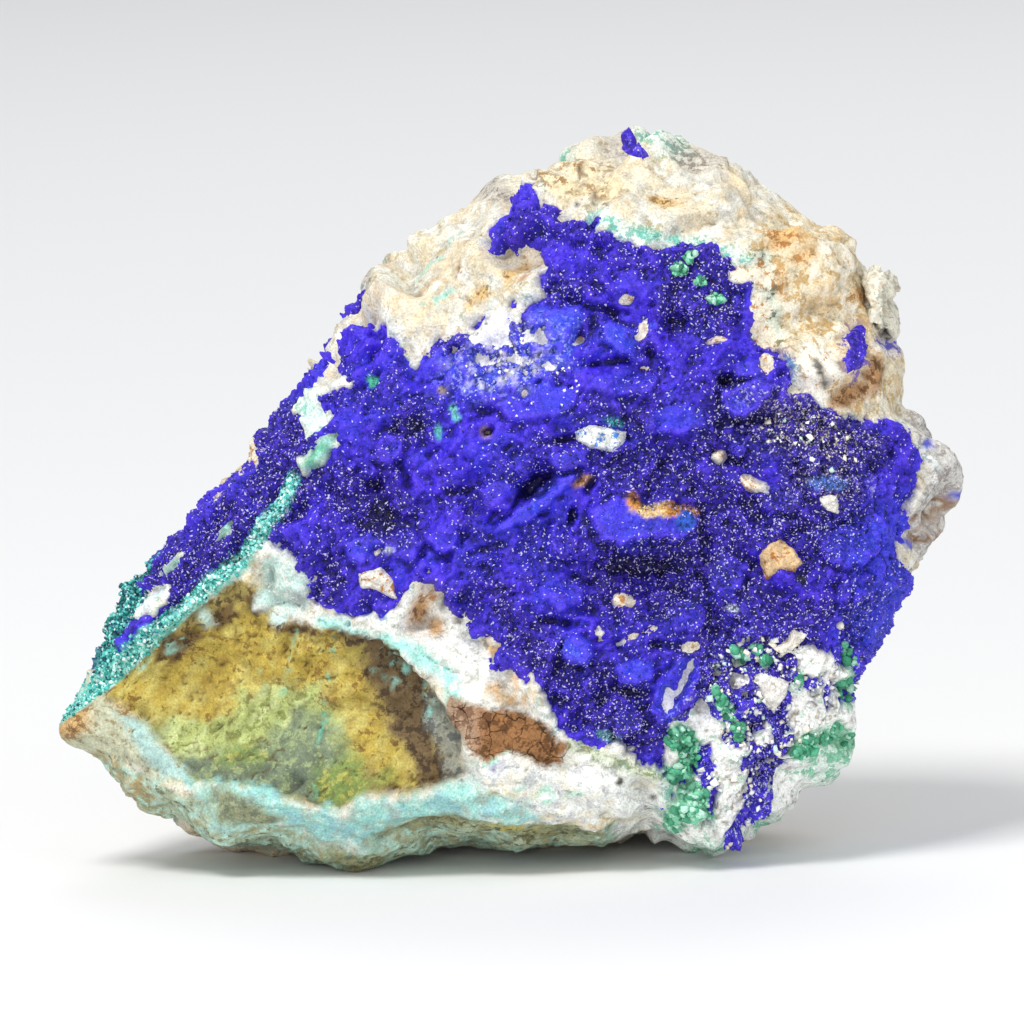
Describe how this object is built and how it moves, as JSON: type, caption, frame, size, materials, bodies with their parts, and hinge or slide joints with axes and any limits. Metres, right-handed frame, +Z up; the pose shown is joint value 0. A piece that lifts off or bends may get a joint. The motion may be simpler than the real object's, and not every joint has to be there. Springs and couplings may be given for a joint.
{
  "type": "mineral specimen",
  "caption": "Natural chunk of cream and ochre rock, its front crusted with fine deep-blue azurite, with malachite seams and clusters; stands on its own base.",
  "frame": {"origin": "middle of the bounding box's footprint, on the surface the stone stands on", "axes": "+Z up; the azurite face looks towards -Y; +X to the right when looking at the azurite face"},
  "size_m": [0.0892, 0.041, 0.0723],
  "materials": {
    "host_rock": "rough, cream to ochre",
    "azurite": "fine glinting crystals",
    "malachite": "small rounded beads, satin",
    "malachite_seam": "granular, satin",
    "rock_chip": "rough, pale",
    "quartz": "glassy, slightly cloudy"
  },
  "bodies": {
    "root": {"host_rock": "host_rock", "azurite_crust": "azurite", "azurite_crown_patch": "azurite", "azurite_shoulder_patch": "azurite", "malachite_cluster_upper": "malachite", "malachite_cluster_lower": "malachite", "malachite_blade": "malachite", "malachite_wedge": "malachite", "malachite_beads": "malachite", "malachite_seam": "malachite_seam", "malachite_edge": "malachite_seam", "rock_chip_triangle": "rock_chip", "rock_chip_pair": "rock_chip", "rock_chip_right": "rock_chip", "rock_chip_rusty": "rock_chip", "rock_chip_middle": "rock_chip", "rock_chip_left": "rock_chip", "quartz_knob": "quartz"}
  },
  "joints": []
}
